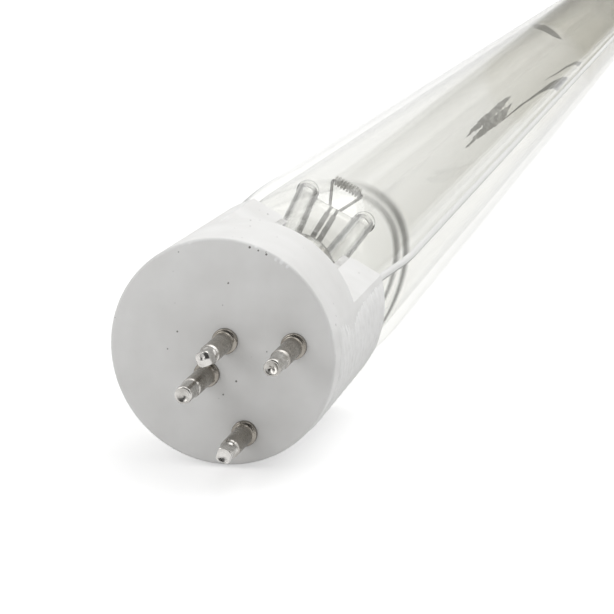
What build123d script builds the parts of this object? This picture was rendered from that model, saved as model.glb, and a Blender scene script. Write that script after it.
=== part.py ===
from build123d import *
import os
from math import cos, radians, sin

# Single-ended ultraviolet lamp.
#
# A clear quartz tube, closed at each end by a glass stem that carries an electrode, sits in two white
# ceramic caps. The near cap is the base, with four contact pins. A thin white lead runs from it along
# the outside of the tube to the far cap, and connects the far electrode back to the base.
#
# The lamp lies along +Y, with the centre of the base's front face at the origin. A depth is counted
# from that face, inwards along the lamp. Across the lamp, a is counted towards the ear that the return
# lead comes out of, and b towards the open flat above it. The far end mirrors the near one.

os.makedirs("parts", exist_ok=True)

# Lamp, millimetres and degrees
lamp_length = 843.0
turn = -28.7

# Ceramic caps
cap_radius = 13.7
cap_length = 28.5
collar_length = 12.4
front_wall = 4.0
cavity_radius = 11.6
cavity_end = 11.0
bore_radius = 11.0
mouth_radius = 11.4
mouth_depth = 0.4
flat_half = 9.75
face_rounding = 0.4

# Contact pins
pin_radius = 1.175
pin_hole_fit = 0.03
flange_radius = 1.55
flange_thickness = 0.55
flange_rounding = 0.22
shaft_length = 5.4
tip_radius = 1.0
tip_step = 0.25
crimp_end = 0.5
tip_rounding = 0.25
pin_bore = 0.45
swage_radius = 1.45
swage_thickness = 0.7
crimp_depth = 0.2
wire_cover = 1.2
pair_spacing = 4.7
pair_place = -0.25
wide_spacing = 12.5
wide_place = 7.05
pattern_shift = -0.75

# Quartz tube
tube_radius = 14.0
tube_wall = 1.5
neck_radius = 10.6
neck_start = 15.0
shoulder_start = 30.0
shoulder_end = 51.0
cement_gap = 0.03
cement_start = 16.5
cement_end = 27.5

# Glass stems. A reach is counted along the leaning stem, from the narrow end of its flare
stem_radius = 5.0
stem_wall = 1.0
flare_lip = 2.5
flare_end = 24.0
lean_a = -0.098
lean_b = 0.02
stem_tube_length = 18.0
pinch_length = 6.0
pinch_half = 1.3
web_length = 26.0
web_thickness = 1.8
rib_radius = 1.65
rib_root = 1.0
rib_length = 34.0
rib_place_start = 3.25
rib_place_end = 5.0
lobe_radius = 1.8

# Electrodes and the leads that carry them
lead_radius = 0.25
glass_fit = 0.03
lead_bend = 2.0
lead_bend_start = 8.0
lead_pass = 1.2
weld_depth = 14.0
foil_width = 0.8
foil_thickness = 0.12
foil_gap = 0.3
foil_inset = 6.0
foil_length = 16.0
coil_reach = 13.5
coil_length = 5.2
coil_radius = 0.85
coil_groove = 0.3
coil_turns = 6
hook_length = 2.6
post_length = 2.2

# Return lead along the outside of the tube
sleeve_radius = 0.5
sleeve_bore = 0.31
wire_radius = 0.14
wire_spread = 0.155
wire_bend = 1.0
sleeve_bend = 40.0
sleeve_angle = 42.0
sleeve_gap = 0.05
channel_place = 12.6
channel_fit = 0.12
sleeve_start = 16.0
rise_start = 29.2
rise_end = 41.5

# Amalgam spot on the inside of the tube
amalgam_start = 118.0
amalgam_end = 180.0
amalgam_width = 1.9
amalgam_thickness = 0.22
amalgam_angle = 68.0

# Directions across the lamp, and the plane half way along it
ear_way = Vector(cos(radians(turn)), 0, sin(radians(turn)))
window_way = Vector(-sin(radians(turn)), 0, cos(radians(turn)))
along = Vector(0, 1, 0)
middle = Plane(origin=along * (lamp_length / 2), z_dir=along)


def at(a, b, depth):
    return ear_way * a + window_way * b + along * depth


def across(depth, a=0.0, b=0.0):
    """A plane across the lamp, with x along a and y along b. Its normal points out of the near end."""
    return Plane(origin=at(a, b, depth), x_dir=ear_way, z_dir=-along)


def lengthwise(a=0.0, b=0.0, depth=0.0):
    """A plane along the lamp, with x along a and y inwards."""
    return Plane(origin=at(a, b, depth), x_dir=ear_way, z_dir=window_way)


def beside(place, offset=0.0):
    """A point at a distance from the lamp's axis in the return lead's direction, set off sideways."""
    angle = radians(sleeve_angle)
    return place * cos(angle) - offset * sin(angle), place * sin(angle) + offset * cos(angle)


def save(part, name):
    part.label = name
    export_step(part, f"parts/{name}.step")


def save_pair(part, name):
    """Saves a piece of the near end, and its mirror image as the far end's."""
    save(mirror(part, about=middle), f"far_{name}")
    save(part, f"near_{name}")


# Ceramic cap: a closed collar, and behind it two ears between two flats
with BuildPart() as plain_cap:
    with BuildSketch(lengthwise()):
        with BuildLine():
            Polyline(
                (0, 0),
                (cap_radius, 0),
                (cap_radius, cap_length),
                (mouth_radius, cap_length),
                (bore_radius, cap_length - mouth_depth),
                (bore_radius, cavity_end),
                (cavity_radius, cavity_end),
                (cavity_radius, front_wall),
                (0, front_wall),
                close=True,
            )
        make_face()
    revolve(axis=Axis.Y)
    fillet(plain_cap.edges().filter_by(GeomType.CIRCLE).sort_by(Axis.Y)[0], face_rounding)
    flat_cut = cap_radius - flat_half
    with BuildSketch(across(collar_length)):
        with Locations((0, flat_half + flat_cut / 2), (0, -flat_half - flat_cut / 2)):
            Rectangle(2 * cap_radius, flat_cut)
    extrude(amount=collar_length - cap_length, mode=Mode.SUBTRACT)
    with BuildSketch(across(front_wall)):
        with Locations(Location((0, 0), sleeve_angle)):
            with Locations((channel_place / 2, 0)):
                Rectangle(channel_place, 2 * (sleeve_radius + channel_fit))
        with Locations(beside(channel_place)):
            Circle(sleeve_radius + channel_fit)
    extrude(amount=front_wall - cap_length, mode=Mode.SUBTRACT)
save(mirror(plain_cap.part, about=middle), "far_cap")

# Contact pins, by place across the lamp and length: a close pair, and a wide pair beside it
pins = {
    "contact_pin_1": {"place": (pair_place, pattern_shift + pair_spacing / 2), "length": 8.7, "flats": 4},
    "contact_pin_2": {"place": (pair_place, pattern_shift - pair_spacing / 2), "length": 9.4, "flats": 0},
    "contact_pin_3": {"place": (wide_place, pattern_shift + wide_spacing / 2), "length": 10.0, "flats": 3},
    "contact_pin_4": {"place": (wide_place, pattern_shift - wide_spacing / 2), "length": 8.9, "flats": 4},
}

# Base cap: the same cap with a hole for each pin
with BuildPart() as base_cap:
    add(plain_cap.part)
    with BuildSketch(across(0)):
        with Locations(*[pin["place"] for pin in pins.values()]):
            Circle(pin_radius + pin_hole_fit)
    extrude(amount=-front_wall, mode=Mode.SUBTRACT)
save(base_cap.part, "base_cap")

# Each pin is a flanged tube, swaged behind the wall and crimped at its tip, which may have flats
for name, pin in pins.items():
    tip = -pin["length"]
    blind = tip + wire_cover
    swage_end = front_wall + swage_thickness
    with BuildPart() as contact_pin:
        with BuildSketch(lengthwise(*pin["place"])):
            with BuildLine():
                Polyline(
                    (0, blind),
                    (0, tip),
                    (tip_radius - tip_rounding, tip),
                    (tip_radius, tip + tip_rounding),
                    (tip_radius, -shaft_length - tip_step),
                    (pin_radius, -shaft_length),
                    (pin_radius, -flange_thickness),
                    (flange_radius - flange_rounding, -flange_thickness),
                    (flange_radius, -flange_thickness + flange_rounding),
                    (flange_radius, 0),
                    (pin_radius, 0),
                    (pin_radius, front_wall),
                    (swage_radius, front_wall),
                    (swage_radius, swage_end),
                    (pin_bore, swage_end),
                    (pin_bore, blind),
                    close=True,
                )
            make_face()
        revolve(axis=Axis(at(*pin["place"], 0), along))
        if pin["flats"]:
            with BuildSketch(across(tip, *pin["place"])):
                Circle(2 * tip_radius)
                crimp_radius = tip_radius - crimp_depth
                RegularPolygon(crimp_radius, pin["flats"], major_radius=False, mode=Mode.SUBTRACT)
            extrude(amount=shaft_length + tip_step + crimp_end + tip, mode=Mode.SUBTRACT)
    save(contact_pin.part, name)

# Quartz tube, drawn down at each end to a neck
inner_radius = tube_radius - tube_wall
neck_bore = neck_radius - tube_wall
shoulder_length = shoulder_end - shoulder_start
shoulder_drop = tube_radius - neck_radius
with BuildPart() as lamp_tube:
    with BuildSketch(lengthwise()):
        with BuildLine():
            for radius in (neck_radius, neck_bore):
                Line((radius, neck_start), (radius, shoulder_start))
                EllipticalCenterArc((radius, shoulder_end), shoulder_drop, shoulder_length, 270, arc_size=90)
                Line((radius + shoulder_drop, shoulder_end), (radius + shoulder_drop, lamp_length / 2))
            Line((neck_bore, neck_start), (neck_radius, neck_start))
            Line((inner_radius, lamp_length / 2), (tube_radius, lamp_length / 2))
        make_face()
    revolve(axis=Axis.Y)
    mirror(about=middle)
save(lamp_tube.part, "lamp_tube")

# Cement between the neck and the cap's bore: one pad under each ear, so that the flats stay open
with BuildPart() as cement:
    with BuildSketch(across(cement_start)):
        Circle(bore_radius - cement_gap)
        Circle(neck_radius + cement_gap, mode=Mode.SUBTRACT)
        Rectangle(2 * bore_radius, 2 * flat_half, mode=Mode.INTERSECT)
    extrude(amount=cement_start - cement_end)
save_pair(cement.part, "cement")


# Directions of the leaning glass stem: along it, towards its ribs and across its web
stem_way = (ear_way * lean_a + window_way * lean_b + along).normalized()
rib_way = (ear_way - stem_way * ear_way.dot(stem_way)).normalized()
web_way = stem_way.cross(rib_way)
pinch_start = stem_tube_length
web_start = pinch_start + pinch_length
web_end = web_start + web_length
foil_start = web_start + foil_inset
foil_end = foil_start + foil_length
foil_place = (foil_width + foil_gap) / 2
rib_start = pinch_start + rib_root
coil_centre = rib_start + rib_length + coil_reach


def on_stem(reach, side=0.0):
    return at(0, 0, flare_end) + stem_way * reach + rib_way * side


def stem_plane(reach, side=0.0):
    """A plane across the stem, with x towards its ribs. Its normal points along the stem."""
    return Plane(origin=on_stem(reach, side), x_dir=rib_way, z_dir=stem_way)


# Pinch of the stem: the end of its tube, pressed between two slanting jaws
with BuildPart() as pinch:
    with BuildSketch(stem_plane(pinch_start)):
        Circle(stem_radius)
    extrude(amount=pinch_length)
    with BuildSketch(Plane(origin=on_stem(pinch_start), x_dir=web_way, z_dir=web_way.cross(stem_way))):
        Polygon(
            (-stem_radius, 0),
            (stem_radius, 0),
            (pinch_half, pinch_length),
            (-pinch_half, pinch_length),
            align=None,
        )
    extrude(amount=stem_radius, both=True, mode=Mode.INTERSECT)

# Glass stem: a flare sealed into the neck, a leaning tube, and beyond its pinch a web between two ribs
lip_radius = neck_bore - cement_gap
lip_end = neck_start + flare_lip
flare_middle = (lip_end + flare_end) / 2
with BuildPart() as stem:
    with BuildSketch(lengthwise()):
        with BuildLine():
            Polyline(
                (stem_radius - stem_wall, flare_end),
                (stem_radius, flare_end),
                (stem_radius + stem_wall, flare_middle),
                (lip_radius, lip_end),
                (lip_radius, neck_start),
                (lip_radius - stem_wall, neck_start),
                (stem_radius, flare_middle - stem_wall),
                (stem_radius - stem_wall, flare_middle + stem_wall),
                close=True,
            )
        make_face()
    revolve(axis=Axis.Y)
    with BuildSketch(stem_plane(-stem_wall)):
        Circle(stem_radius)
    extrude(amount=stem_wall + stem_tube_length)
    with BuildSketch(stem_plane(-2 * stem_wall)):
        Circle(stem_radius - stem_wall)
    extrude(amount=2 * stem_wall + stem_tube_length, mode=Mode.SUBTRACT)
    add(pinch.part)
    with BuildSketch(Plane(origin=on_stem(0), x_dir=rib_way, z_dir=rib_way.cross(stem_way))):
        Polygon(
            (-rib_place_start, rib_start),
            (rib_place_start, rib_start),
            (rib_place_end, web_end),
            (-rib_place_end, web_end),
            align=None,
        )
    extrude(amount=web_thickness / 2, both=True)
    for side in (1, -1):
        rib_foot = on_stem(rib_start, side * rib_place_start)
        lobe_centre = on_stem(rib_start + rib_length, side * rib_place_end)
        with BuildSketch(Plane(origin=rib_foot, z_dir=lobe_centre - rib_foot)):
            Circle(rib_radius)
        extrude(amount=(lobe_centre - rib_foot).length)
        with Locations(lobe_centre):
            Sphere(lobe_radius)
        for start, end in ((pinch_start, foil_start), (foil_end, web_end)):
            with BuildSketch(stem_plane(start, side * foil_place)):
                Circle(lead_radius + glass_fit)
            extrude(amount=end - start, mode=Mode.SUBTRACT)
        with BuildSketch(stem_plane(foil_start, side * foil_place)):
            Rectangle(foil_width + 2 * glass_fit, foil_thickness + 2 * glass_fit)
        extrude(amount=foil_length, mode=Mode.SUBTRACT)
save_pair(stem.part, "stem")


def wire(points, bends, radius, bore=0.0):
    """A round wire or sleeve, in straight runs joined by tangent arcs."""
    with BuildPart() as made:
        with BuildLine() as route:
            FilletPolyline(*points, radius=bends)
        with BuildSketch(Plane(origin=route.line @ 0, z_dir=route.line % 0)):
            Circle(radius)
            if bore > 0:
                Circle(bore, mode=Mode.SUBTRACT)
        sweep()
    return made.part


# Molybdenum foils in the press, and the bent posts that hold the electrode's coil
for number, side in ((1, 1), (2, -1)):
    with BuildPart() as foil:
        with BuildSketch(stem_plane(foil_start, side * foil_place)):
            Rectangle(foil_width, foil_thickness)
        extrude(amount=foil_length)
    save_pair(foil.part, f"foil_{number}")
    post_points = [
        on_stem(foil_end, side * foil_place),
        on_stem(web_end, side * foil_place),
        on_stem(coil_centre - post_length, side * hook_length),
        on_stem(coil_centre - coil_radius, side * hook_length),
    ]
    save_pair(wire(post_points, lead_radius, lead_radius), f"post_{number}")

# Coil of the electrode, as the close turns of one wound wire
with BuildPart() as coil:
    with BuildSketch(Plane(origin=on_stem(coil_centre), x_dir=rib_way, z_dir=rib_way.cross(stem_way))):
        with BuildLine():
            pitch = coil_length / coil_turns
            crests = [(-coil_length / 2, 0)]
            for count in range(coil_turns):
                start = count * pitch - coil_length / 2
                crests += [(start, coil_radius - coil_groove), (start + pitch / 2, coil_radius)]
            crests += [(coil_length / 2, coil_radius - coil_groove), (coil_length / 2, 0)]
            Polyline(*crests, close=True)
        make_face()
    revolve(axis=Axis(on_stem(coil_centre), rib_way))
save_pair(coil.part, "coil")


# Leads from the close pair of pins to the near foils, and from the far foils to the return wires
def stem_lead(side, start_points):
    return start_points + [
        on_stem(pinch_start - 2 * lead_pass, side * foil_place),
        on_stem(foil_start, side * foil_place),
    ]


for name, side in (("contact_pin_1", 1), ("contact_pin_2", -1)):
    number = name[-1]
    pin = pins[name]
    from_pin = [
        at(*pin["place"], wire_cover - pin["length"]),
        at(*pin["place"], lead_bend_start),
        at(side * lead_pass, 0, flare_end),
    ]
    save(wire(stem_lead(side, from_pin), lead_bend, lead_radius), f"near_lead_{number}")
    from_weld = [at(side * lead_pass, 0, weld_depth), at(side * lead_pass, 0, flare_end)]
    far_lead = wire(stem_lead(side, from_weld), lead_bend, lead_radius)
    save(mirror(far_lead, about=middle), f"far_lead_{number}")


# Return lead: a sleeve clear of the tube, with two wires side by side in it
def lead_run(offset=0.0):
    """The points that the sleeve and its wires share, from the near channel to the far one."""
    lead_place = tube_radius + sleeve_gap + sleeve_radius
    rise = [
        at(*beside(channel_place, offset), rise_start),
        at(*beside(lead_place, offset), rise_end),
    ]
    return rise + [far_side(point) for point in reversed(rise)]


def far_side(point):
    return Vector(point.X, lamp_length - point.Y, point.Z)


run_bends = [sleeve_bend] * 4
sleeve_ends = at(*beside(channel_place), sleeve_start)
sleeve_points = [sleeve_ends] + lead_run() + [far_side(sleeve_ends)]
return_sleeve = wire(sleeve_points, run_bends, sleeve_radius, sleeve_bore)
save(return_sleeve, "return_sleeve")

# Each wire leaves a pin of the wide pair and crosses to the sleeve. The second first goes to a place beside
# it, to stay clear of the first. Both end butt welded to the far leads
return_wires = {
    "return_wire_1": {"pin": "contact_pin_3", "side": 1, "bend": 8.0, "mouth": 12.0, "far_mouth": 9.0},
    "return_wire_2": {"pin": "contact_pin_4", "side": -1, "bend": 7.0, "mouth": 15.0, "far_mouth": 12.5},
}
cross_place = 9.8
cross_offset = 0.31
cross_depth = 11.5
far_crossing = 2.0
for name, route in return_wires.items():
    pin = pins[route["pin"]]
    side = route["side"]
    offset = side * wire_spread
    start_points = [
        at(*pin["place"], wire_cover - pin["length"]),
        at(*pin["place"], route["bend"]),
        at(*beside(channel_place, offset), route["mouth"]),
    ]
    if side < 0:
        start_points.insert(2, at(*beside(cross_place, -cross_offset), cross_depth))
    end_points = [
        far_side(at(*beside(channel_place, offset), route["far_mouth"])),
        far_side(at(side * lead_pass, 0, route["far_mouth"] - far_crossing)),
        far_side(at(side * lead_pass, 0, weld_depth)),
    ]
    bends = [wire_bend] * (len(start_points) - 1) + run_bends + [wire_bend] * 2
    return_wire = wire(start_points + lead_run(offset) + end_points, bends, wire_radius)
    save(return_wire, name)

# Amalgam spot, a thin strip with round ends that lies against the inside of the tube
with BuildPart() as amalgam:
    amalgam_length = amalgam_end - amalgam_start
    amalgam_way = ear_way * cos(radians(amalgam_angle)) + window_way * sin(radians(amalgam_angle))
    with BuildSketch(across(amalgam_start)):
        Circle(inner_radius - cement_gap)
        Circle(inner_radius - cement_gap - amalgam_thickness, mode=Mode.SUBTRACT)
    extrude(amount=-amalgam_length)
    amalgam_centre = along * (amalgam_start + amalgam_length / 2)
    with BuildSketch(Plane(origin=amalgam_centre, x_dir=along, z_dir=amalgam_way)):
        SlotOverall(amalgam_length, amalgam_width)
    extrude(amount=tube_radius, mode=Mode.INTERSECT)
save(amalgam.part, "amalgam")
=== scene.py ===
# %% [markdown]
# # A quartz ultraviolet lamp
#
# A long clear tube between two white ceramic caps, lying on a white floor. Nearly all of it is white
# or clear on white, so the work is in what the glass mirrors, where it darkens, and in soft edges.
# The solids come packed, in metres, and everything here is made around them in the same frame.
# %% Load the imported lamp
from math import cos, radians, sin

import bmesh
import bpy
import numpy as np
from mathutils import Matrix, Vector


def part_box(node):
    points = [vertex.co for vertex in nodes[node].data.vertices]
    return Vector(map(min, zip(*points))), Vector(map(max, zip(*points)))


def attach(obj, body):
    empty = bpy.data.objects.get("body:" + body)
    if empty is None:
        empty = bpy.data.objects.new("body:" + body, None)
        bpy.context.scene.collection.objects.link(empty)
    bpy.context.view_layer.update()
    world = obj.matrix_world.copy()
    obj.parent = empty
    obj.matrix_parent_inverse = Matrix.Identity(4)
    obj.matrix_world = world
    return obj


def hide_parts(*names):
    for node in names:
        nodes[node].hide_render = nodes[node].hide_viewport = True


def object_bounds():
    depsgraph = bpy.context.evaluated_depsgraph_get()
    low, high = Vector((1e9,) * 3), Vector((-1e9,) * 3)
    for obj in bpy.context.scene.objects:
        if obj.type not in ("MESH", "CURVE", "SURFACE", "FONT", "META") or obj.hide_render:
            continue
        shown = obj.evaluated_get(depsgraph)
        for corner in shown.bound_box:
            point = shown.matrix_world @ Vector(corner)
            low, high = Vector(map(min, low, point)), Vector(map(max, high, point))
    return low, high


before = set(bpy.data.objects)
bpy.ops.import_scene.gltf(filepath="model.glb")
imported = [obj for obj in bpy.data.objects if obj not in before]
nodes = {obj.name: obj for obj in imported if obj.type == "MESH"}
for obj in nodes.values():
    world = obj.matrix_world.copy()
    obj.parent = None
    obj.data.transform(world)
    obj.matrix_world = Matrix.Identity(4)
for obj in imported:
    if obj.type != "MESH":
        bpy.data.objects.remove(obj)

bpy.context.view_layer.update()
cad_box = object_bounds()
scene = bpy.context.scene
print(len(nodes), "nodes from", [round(v, 4) for v in cad_box[0]], "to", [round(v, 4) for v in cad_box[1]])

# %% [markdown]
# ## Directions and sizes
#
# The lamp lies along Y. It is turned about its own axis, so two directions across it are used all
# through: **a** points to the ear that the white lead comes out of, and **b** to the open flat above.
# Sizes are in millimetres, as on a drawing, and `place` turns them into metres in the shared frame.
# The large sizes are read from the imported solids, so that every surface fits them.
# %% Directions and sizes
MM = 0.001
TURN = radians(-28.7)
EAR_WAY = np.array([cos(TURN), 0, sin(TURN)])
FLAT_WAY = np.array([-sin(TURN), 0, cos(TURN)])
ALONG = np.array([0.0, 1.0, 0.0])

lamp_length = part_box("far_cap")[1].y / MM
tube_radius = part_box("lamp_tube")[1].z / MM
tube_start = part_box("lamp_tube")[0].y / MM
cap_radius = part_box("base_cap")[1].z / MM
tube_wall = 1.5
neck_radius = 10.6
shoulder_start = 30.0
shoulder_end = 51.0
sleeve_angle = radians(42.0)
print(f"lamp {lamp_length:.1f} mm long, tube {2 * tube_radius:.1f} mm across, cap {2 * cap_radius:.1f} mm")


def place(a, b, depth):
    """Points in metres from distances in millimetres: towards the ear, towards the flat, and along."""
    a, b, depth = np.broadcast_arrays(*(np.asarray(v, float) for v in (a, b, depth)))
    return (a[..., None] * EAR_WAY + b[..., None] * FLAT_WAY + depth[..., None] * ALONG) * MM


def round_place(radius, angle, depth):
    """Points in metres from a radius, an angle in radians from a towards b, and a depth along the lamp."""
    return place(radius * np.cos(angle), radius * np.sin(angle), depth)


def smooth(value, start, end):
    """Zero before start, one after end, and a smooth S between: 3t^2 - 2t^3."""
    t = np.clip((value - start) / (end - start), 0, 1)
    return t * t * (3 - 2 * t)


# %% [markdown]
# ## From points to a piece
#
# A piece could be pushed and pulled by hand, or built up vertex by vertex. Here each is a grid of
# points from a formula on whole arrays, which is fast and can be read. `skin` joins neighbouring
# points into quads and closes the grid round itself. `add_piece` then says what the mesh is: its
# material, and the imported node that it stands for, which it hides.
# %% Meshes and pieces
merge_distance = 1e-7


def skin(points, rows_closed=False, smooth_shaded=True):
    """A mesh from points[row, column]. Columns always close round, and rows close too for a ring.

    Points that lie on one another, as at a pole, are merged, and the faces are turned outwards."""
    rows, columns = points.shape[:2]
    index = np.arange(rows * columns).reshape(rows, columns)
    if rows_closed:
        index = np.vstack([index, index[:1]])
    index = np.hstack([index, index[:, :1]])
    corners = (index[:-1, :-1], index[:-1, 1:], index[1:, 1:], index[1:, :-1])
    quads = np.stack(corners, axis=-1).reshape(-1, 4)
    mesh = bpy.data.meshes.new("skin")
    mesh.from_pydata(points.reshape(-1, 3).tolist(), [], quads.tolist())
    work = bmesh.new()
    work.from_mesh(mesh)
    bmesh.ops.remove_doubles(work, verts=work.verts, dist=merge_distance)
    bmesh.ops.recalc_face_normals(work, faces=work.faces)
    work.to_mesh(mesh)
    work.free()
    mesh.polygons.foreach_set("use_smooth", np.full(len(mesh.polygons), smooth_shaded))
    return mesh


def dress(piece, material):
    """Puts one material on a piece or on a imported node."""
    piece.data.materials.clear()
    piece.data.materials.append(material)


def add_piece(name, mesh, material, node=None):
    """A piece of the lamp from a mesh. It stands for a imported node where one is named."""
    mesh.name = name
    piece = bpy.data.objects.new(name, mesh)
    scene.collection.objects.link(piece)
    dress(piece, material)
    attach(piece, "root")
    if node:
        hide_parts(node)
    print(piece.name, len(mesh.polygons), "faces")
    return piece


# %% [markdown]
# ## Materials
#
# Each finish is one short function on top of `finish`, which makes a Principled shader with plain
# values on its own sockets. Patterns read Object coordinates, which are metres on the lamp itself,
# so a speck keeps its size whatever the piece. Node by node a material gets long, so each small
# function below adds one node and returns its output, and a material reads as a few sums.
# %% What every finish is made of
EVEN = (1, 1, 1)


def fill(tree, socket, value):
    """Gives an input socket a plain value, or links another node's output to it."""
    if isinstance(value, bpy.types.NodeSocket):
        tree.links.new(value, socket)
    else:
        socket.default_value = (*value, 1) if socket.type == "RGBA" else value


def feed(tree, node, **inputs):
    """Fills a node's inputs by name, with _ for a space."""
    for name, value in inputs.items():
        fill(tree, node.inputs[name.replace("_", " ")], value)
    return node


def add_node(tree, kind, **inputs):
    """A new shader node of a kind, with its inputs filled by name."""
    return feed(tree, tree.nodes.new(f"ShaderNode{kind}"), **inputs)


def finish(name, colour, roughness, **inputs):
    """A material with a Principled shader: its base colour, roughness and any other inputs."""
    material = bpy.data.materials.new(name)
    material.use_nodes = True
    tree = material.node_tree
    shader = tree.nodes["Principled BSDF"]
    feed(tree, shader, Base_Color=colour, Roughness=roughness, **inputs)
    return material, tree, shader


def object_place(tree):
    """Object coordinates in metres."""
    return add_node(tree, "TexCoord").outputs["Object"]


def noise(tree, scale, detail, stretch=EVEN):
    """A noise texture on Object coordinates. stretch scales the pattern along X, Y and Z."""
    mapping = add_node(tree, "Mapping", Vector=object_place(tree), Scale=stretch)
    texture = add_node(tree, "TexNoise", Vector=mapping.outputs["Vector"], Scale=scale, Detail=detail)
    return texture.outputs["Fac"]


def span(tree, value, low, high, to_low=0.0, to_high=1.0):
    """Maps a value from low..high to to_low..to_high, held at the ends."""
    ends = {"From_Min": low, "From_Max": high, "To_Min": to_low, "To_Max": to_high}
    return add_node(tree, "MapRange", Value=value, **ends).outputs["Result"]


def arithmetic(tree, operation, *operands):
    """A Math node. Each operand is a socket or a number."""
    node = add_node(tree, "Math")
    node.operation = operation
    for socket, operand in zip(node.inputs, operands):
        fill(tree, socket, operand)
    return node.outputs["Value"]


def mix(tree, factor, colour_a, colour_b):
    """A colour between two, by a factor. Either colour may be a socket."""
    node = add_node(tree, "Mix")
    node.data_type = "RGBA"
    feed(tree, node, Factor=factor)
    for socket, colour in zip([s for s in node.inputs if s.type == "RGBA"], (colour_a, colour_b)):
        fill(tree, socket, colour)
    return [s for s in node.outputs if s.type == "RGBA"][0]


def bump(tree, shader, height, distance, strength):
    """Bends the shader's normal by a height. distance is in metres for a height of one."""
    node = add_node(tree, "Bump", Height=height, Distance=distance, Strength=strength)
    feed(tree, shader, Normal=node.outputs["Normal"])


# %% [markdown]
# ### Ceramic, cement and white sleeve
#
# The caps are unglazed steatite: matt, white, and never quite clean. A fine noise gives the pressed
# grain, a very coarse one a faint cloudiness, and a noise cut off near its top the few dark specks.
# The base's face has some more, and chips on its rim, and each of them is a small ball of colour
# about a place of its own. The sleeve is a white plastic with hardly any gloss. Its underside is in
# shade, and that shade is painted as a darker colour, which keeps it apart from the bright glass it lies on.
# %% Matt finishes
SPECKS = [  # towards the ear, towards the flat, size, all in millimetres
    (-5.74, -0.53, 0.13), (-5.78, -3.03, 0.10), (3.18, -2.0, 0.15), (2.61, -4.28, 0.12),
    (4.62, 3.13, 0.09), (-3.0, 12.95, 0.17), (-1.95, 13.15, 0.12), (-0.92, 13.25, 0.15),
]
CHIPS = [(0.33, 13.3, 0.30), (1.04, 13.35, 0.34), (1.87, 13.25, 0.28), (-2.4, 13.3, 0.22)]
speck_depth = 0.0
chip_depth = 0.15
speck_heart = 0.6
SLEEVE_SHADE = (-0.020, -0.012)  # from where to where its shade ends, in radians from the sleeve's line


def spots(tree, marks, depth):
    """One in the hearts of small balls about places on the lamp, and zero outside them."""
    mask = 0.0
    for a, b, size in marks:
        apart = add_node(tree, "VectorMath")
        apart.operation = "DISTANCE"
        fill(tree, apart.inputs[0], object_place(tree))
        fill(tree, apart.inputs[1], place(a, b, depth))
        spot = span(tree, apart.outputs["Value"], size * speck_heart * MM, size * MM, 1, 0)
        mask = arithmetic(tree, "MAXIMUM", mask, spot)
    return mask


def make_ceramic():
    """Cloudy white with a pressed grain, dark specks and bright chips."""
    material, tree, shader = finish("ceramic", (0.83, 0.825, 0.81), 0.52)
    cloud = span(tree, noise(tree, 160, 3), 0.35, 0.65)
    body = mix(tree, cloud, (0.80, 0.795, 0.78), (0.86, 0.857, 0.845))
    body = mix(tree, spots(tree, CHIPS, chip_depth), body, (0.95, 0.95, 0.945))
    specks = span(tree, noise(tree, 1500, 1), 0.775, 0.80)
    specks = arithmetic(tree, "MAXIMUM", specks, spots(tree, SPECKS, speck_depth))
    feed(tree, shader, Base_Color=mix(tree, specks, body, (0.16, 0.15, 0.14)))
    bump(tree, shader, noise(tree, 4200, 3), 0.00004, 0.35)
    return material


def mottled(name, roughness, dark, light, pattern, relief):
    """A matt material between two tones, with a bump.

    pattern is the tones' noise: scale, detail, stretch, and from where to where it turns from dark to
    light. relief is the bump's noise: scale, detail, height in metres and strength."""
    scale, detail, stretch, low, high = pattern
    material, tree, shader = finish(name, light, roughness)
    tone = span(tree, noise(tree, scale, detail, stretch), low, high)
    feed(tree, shader, Base_Color=mix(tree, tone, dark, light))
    scale, detail, height, strength = relief
    bump(tree, shader, noise(tree, scale, detail), height, strength)
    return material


def object_axis(tree, axis):
    """One of the Object coordinates: X is to the right, Y the depth along the lamp, Z up."""
    return add_node(tree, "SeparateXYZ", Vector=object_place(tree)).outputs[axis]


def make_sleeve():
    """White plastic, a little streaked along the lamp, with a painted shade below its own line round the
    axis.
    """
    material, tree, shader = finish("sleeve", (0.80, 0.80, 0.785), 0.45, Specular_IOR_Level=0.15)
    streaks = span(tree, noise(tree, 60, 2, (1, 0.3, 1)), 0.3, 0.7)
    body = mix(tree, streaks, (0.81, 0.81, 0.795), (0.87, 0.87, 0.855))
    turn = arithmetic(tree, "ARCTAN2", object_axis(tree, "Z"), object_axis(tree, "X"))
    dark_end, light_end = (TURN + sleeve_angle + turned for turned in SLEEVE_SHADE)
    # painted shade: below the sleeve's line round the axis its colour goes dark grey, standing in for the
    # shade on its underside
    painted_underside_shade = span(tree, turn, dark_end, light_end, 1, 0)
    feed(tree, shader, Base_Color=mix(tree, painted_underside_shade, body, (0.33, 0.33, 0.32)))
    bump(tree, shader, noise(tree, 700, 2, (1, 0.15, 1)), 0.00003, 0.5)
    return material


ceramic = make_ceramic()
patches = (900, 4, EVEN, 0.3, 0.7)
cement = mottled("cement", 0.85, (0.60, 0.59, 0.57), (0.84, 0.835, 0.82), patches, (1400, 6, 0.0003, 0.8))
smear_white = mottled("smear", 0.85, (0.86, 0.857, 0.845), (0.94, 0.94, 0.93), patches,
                      (1400, 6, 0.00004, 0.8))
sleeve_white = make_sleeve()
print("matt finishes", ceramic.name, cement.name, smear_white.name, sleeve_white.name)


# %% [markdown]
# ### Metals
#
# The pins are nickel-plated brass tube: bright where they were crimped, brownish and dull along the
# shaft. The wires inside are drawn nickel, and the foils and posts are grey molybdenum. All of them
# are smoother in some spots than in others, which breaks up what they mirror.
# %% Metal finishes
pin_shaft_length = 6.3
bright_from = pin_shaft_length - 0.3
bright_all = pin_shaft_length + 0.3


def worn(tree, shader, grain, smoothest, dullest, height):
    """Roughness between two values and a fine bump, both from the same kind of noise."""
    feed(tree, shader, Roughness=span(tree, noise(tree, grain, 3), 0.3, 0.7, smoothest, dullest))
    bump(tree, shader, noise(tree, grain * 2, 3), height, 0.5)


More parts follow.
